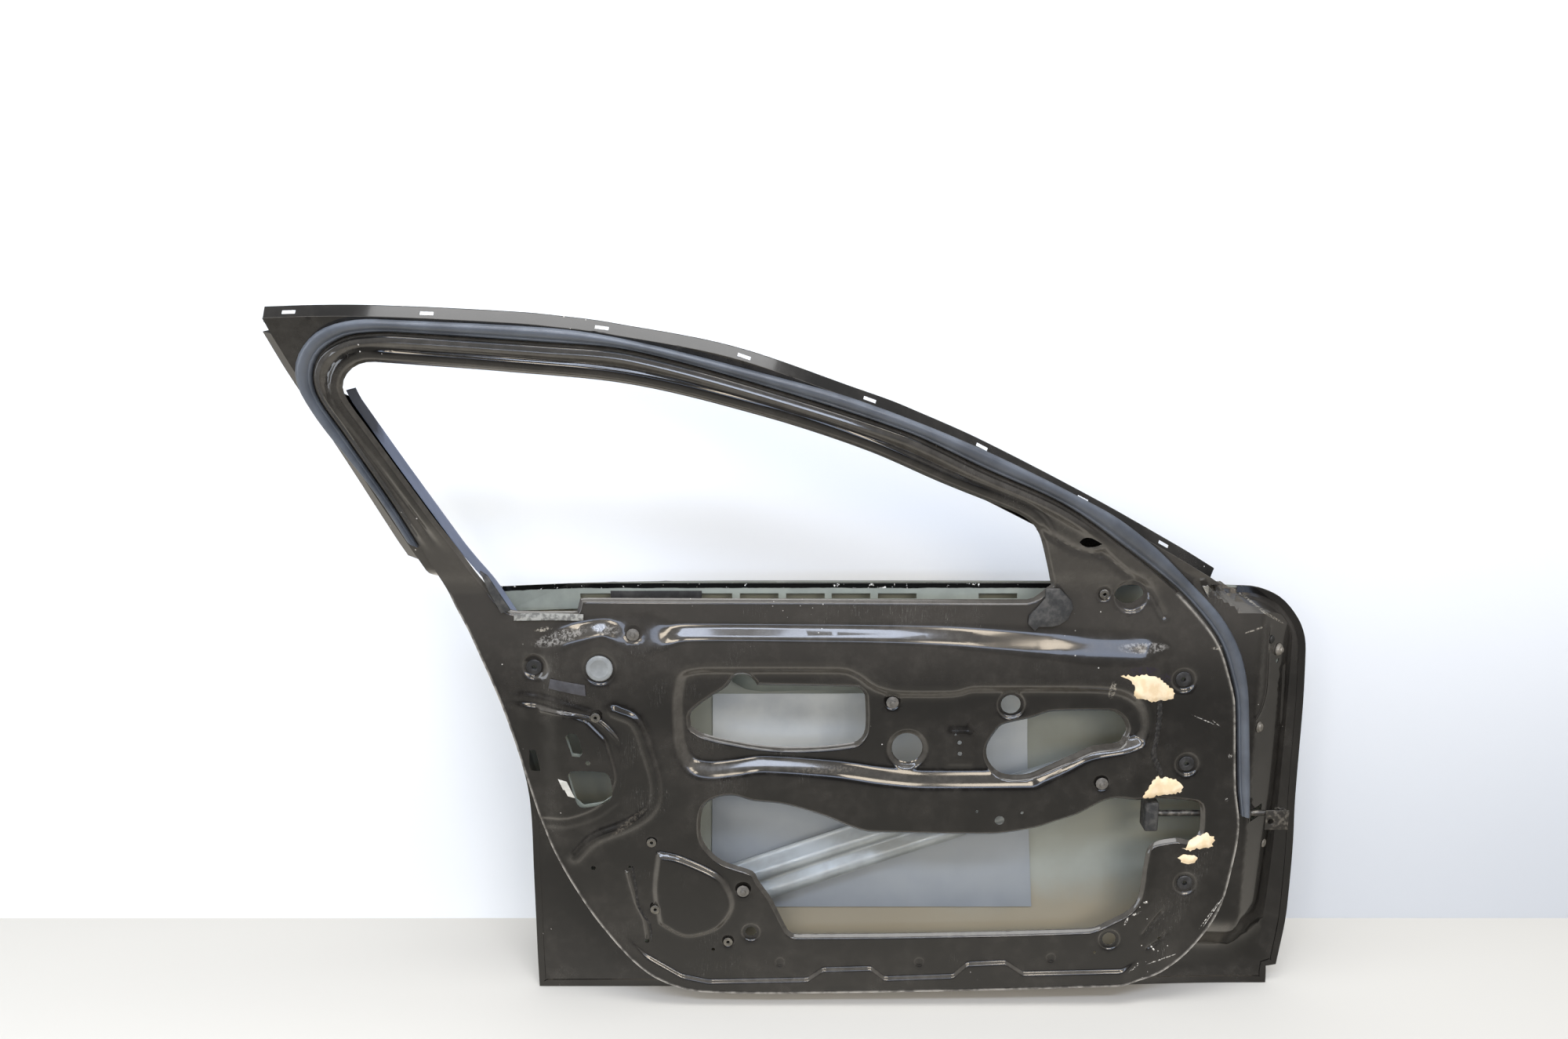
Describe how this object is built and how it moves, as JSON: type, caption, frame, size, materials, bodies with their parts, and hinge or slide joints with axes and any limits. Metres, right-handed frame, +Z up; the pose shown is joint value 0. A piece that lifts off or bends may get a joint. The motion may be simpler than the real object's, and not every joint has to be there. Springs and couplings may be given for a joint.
{
  "type": "car door shell",
  "caption": "Bare front side door of a car seen from inside: pressed inner panel with window frame, access openings, rubber seal, check strap and inner skin face.",
  "frame": {"origin": "centre of the upper hinge's seat on the front wall of the door, the place the door hangs from", "axes": "+X along the car towards the door's hinge side, +Y outboard, +Z up with the door closed"},
  "size_m": [1.4235, 0.2531, 1.0453],
  "materials": {
    "outer_skin": "pale overspray on the back of the painted outer skin",
    "inner_panel": "glossy near-black door paint, scratched and dusty",
    "roof_flange": "glossy near-black paint",
    "frame_outer_panel": "glossy near-black paint",
    "rear_frame_strip": "semi-gloss black paint",
    "rear_glass_channel": "light grey-blue primer",
    "pillar_outer_panel": "glossy near-black paint",
    "mirror_outer_panel": "glossy near-black paint",
    "belt_outer_reinforcement": "grey-green primer",
    "belt_inner_reinforcement": "grey-green primer",
    "belt_tape": "black cloth tape",
    "front_belt_pad": "black rubber with white scuffs",
    "rear_belt_pad": "black rubber",
    "belt_adhesive_strip": "dried adhesive residue",
    "impact_beam": "grey primer over steel tube",
    "beam_bracket_front": "grey primer",
    "beam_bracket_rear": "grey primer",
    "damping_sheet": "matt grey damping sheet",
    "handle_reinforcement": "grey primer",
    "hinge_reinforcement_upper": "grey primer",
    "hinge_reinforcement_lower": "grey primer",
    "latch_reinforcement": "grey primer",
    "door_seal": "dark blue-grey sponge rubber, satin",
    "round_plug": "black rubber plug",
    "hinge_wall_boss": "black paint",
    "hinge_wall_bolt": "zinc plated, satin",
    "upper_wall_plug": "black rubber plug",
    "lower_wall_plug": "black rubber plug",
    "tape_patch": "dark grey tape",
    "blank_label": "blank pale film",
    "frame_clip": "bright spring steel",
    "check_arm": "zinc plated steel",
    "check_end_stop": "black rubber stop",
    "check_pin": "zinc plated steel",
    "check_bracket": "zinc plated steel",
    "check_housing": "black plastic housing",
    "grommet_1": "grey plastic grommet",
    "trim_stud_1": "black plastic clip",
    "felt_patch_1": "torn felt and adhesive residue",
    "grommet_2": "grey plastic grommet",
    "trim_stud_2": "black plastic clip",
    "felt_patch_2": "torn felt and adhesive residue",
    "grommet_3": "grey plastic grommet",
    "trim_stud_3": "black plastic clip",
    "felt_patch_3": "torn felt and adhesive residue",
    "grommet_4": "grey plastic grommet",
    "trim_stud_4": "black plastic clip",
    "felt_patch_4": "torn felt and adhesive residue",
    "rivet_nut_1": "zinc plated steel",
    "rivet_nut_2": "zinc plated steel",
    "rivet_nut_3": "zinc plated steel",
    "rivet_nut_4": "zinc plated steel",
    "rivet_nut_5": "zinc plated steel"
  },
  "bodies": {
    "door": {"outer_skin": "outer_skin", "inner_panel": "inner_panel", "roof_flange": "roof_flange", "frame_outer_panel": "frame_outer_panel", "rear_frame_strip": "rear_frame_strip", "rear_glass_channel": "rear_glass_channel", "pillar_outer_panel": "pillar_outer_panel", "mirror_outer_panel": "mirror_outer_panel", "belt_outer_reinforcement": "belt_outer_reinforcement", "belt_inner_reinforcement": "belt_inner_reinforcement", "belt_tape": "belt_tape", "front_belt_pad": "front_belt_pad", "rear_belt_pad": "rear_belt_pad", "belt_adhesive_strip": "belt_adhesive_strip", "impact_beam": "impact_beam", "beam_bracket_front": "beam_bracket_front", "beam_bracket_rear": "beam_bracket_rear", "damping_sheet": "damping_sheet", "handle_reinforcement": "handle_reinforcement", "hinge_reinforcement_upper": "hinge_reinforcement_upper", "hinge_reinforcement_lower": "hinge_reinforcement_lower", "latch_reinforcement": "latch_reinforcement", "door_seal": "door_seal", "round_plug": "round_plug", "hinge_wall_boss": "hinge_wall_boss", "hinge_wall_bolt": "hinge_wall_bolt", "upper_wall_plug": "upper_wall_plug", "lower_wall_plug": "lower_wall_plug", "tape_patch": "tape_patch", "blank_label": "blank_label", "frame_clip": "frame_clip", "check_housing": "check_housing", "grommet_1": "grommet_1", "trim_stud_1": "trim_stud_1", "felt_patch_1": "felt_patch_1", "grommet_2": "grommet_2", "trim_stud_2": "trim_stud_2", "felt_patch_2": "felt_patch_2", "grommet_3": "grommet_3", "trim_stud_3": "trim_stud_3", "felt_patch_3": "felt_patch_3", "grommet_4": "grommet_4", "trim_stud_4": "trim_stud_4", "felt_patch_4": "felt_patch_4", "rivet_nut_1": "rivet_nut_1", "rivet_nut_2": "rivet_nut_2", "rivet_nut_3": "rivet_nut_3", "rivet_nut_4": "rivet_nut_4", "rivet_nut_5": "rivet_nut_5"},
    "check_arm": {"check_arm": "check_arm", "check_end_stop": "check_end_stop", "check_pin": "check_pin"},
    "check_bracket": {"check_bracket": "check_bracket"}
  },
  "joints": [
    {"name": "check_slide", "type": "slide", "parent": "door", "child": "check_arm", "axis": [1, 0, 0], "range_m": [0, 0.07]},
    {"name": "bracket_hinge", "type": "hinge", "parent": "check_arm", "child": "check_bracket", "pos_m": [0.024, -0.012, -0.204], "axis": [0, 0, 1], "range_deg": [0, 90]}
  ]
}
